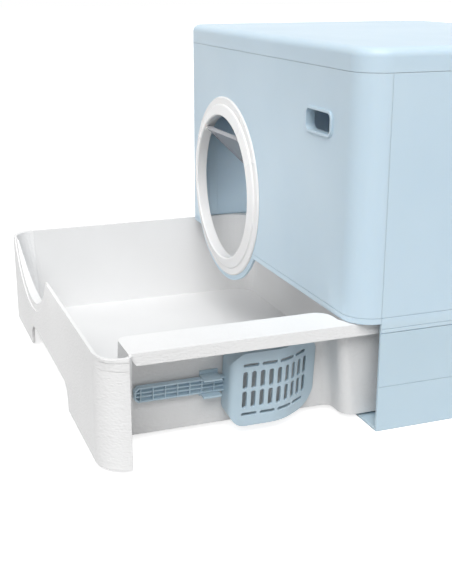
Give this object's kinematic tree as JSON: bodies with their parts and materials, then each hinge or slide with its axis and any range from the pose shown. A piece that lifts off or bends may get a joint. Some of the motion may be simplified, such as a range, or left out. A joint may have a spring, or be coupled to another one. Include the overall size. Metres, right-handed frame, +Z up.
{
  "type": "drawer litter box",
  "caption": "Enclosed litter box with a pull-out litter drawer, a round entry with a swing flap, a lift-off lid and a scoop clipped in the drawer's side.",
  "frame": {"origin": "middle of the base's footprint, on the ground", "axes": "+Z up, -Y towards the entry and the pulled-out drawer, +X towards the side with the scoop's niche"},
  "size_m": [0.53, 0.641, 0.3983],
  "materials": {
    "body_blue": "satin moulded polypropylene, pale blue",
    "drawer_white": "finely grained moulded polypropylene, white",
    "ring_white": "smooth white plastic",
    "flap_smoke": "see-through smoky plastic",
    "rod_steel": "drawn steel",
    "foot_rubber": "soft grey rubber"
  },
  "bodies": {
    "base": {"base_tray": "body_blue", "foot_front_left": "foot_rubber", "foot_front_right": "foot_rubber", "foot_back_left": "foot_rubber", "foot_back_right": "foot_rubber"},
    "drawer": {"drawer_pan": "drawer_white", "scoop_clip": "body_blue"},
    "scoop": {"litter_scoop": "body_blue"},
    "hood": {"hood_front": "body_blue", "hood_right_side": "body_blue", "hood_left_side": "body_blue", "hood_back": "body_blue", "entry_ring": "ring_white", "window_frame": "body_blue"},
    "flap": {"flap_panel": "flap_smoke", "flap_rod": "rod_steel"},
    "lid": {"hood_lid": "body_blue"}
  },
  "joints": [
    {"name": "drawer_slide", "type": "slide", "parent": "base", "child": "drawer", "axis": [0, -1, 0], "range_m": [-0.266, 0]},
    {"name": "scoop_out", "type": "slide", "parent": "drawer", "child": "scoop", "axis": [0.9938, 0, -0.1108], "range_m": [0, 0.07]},
    {"name": "hood_lift", "type": "slide", "parent": "base", "child": "hood", "axis": [0, 0, 1], "range_m": [0, 0.12]},
    {"name": "flap_swing", "type": "hinge", "parent": "hood", "child": "flap", "pos_m": [-0.11, -0.2055, 0.265], "axis": [1, 0, 0], "range_deg": [-106, 26]},
    {"name": "lid_lift", "type": "slide", "parent": "hood", "child": "lid", "axis": [0, 0, 1], "range_m": [0, 0.06]}
  ]
}
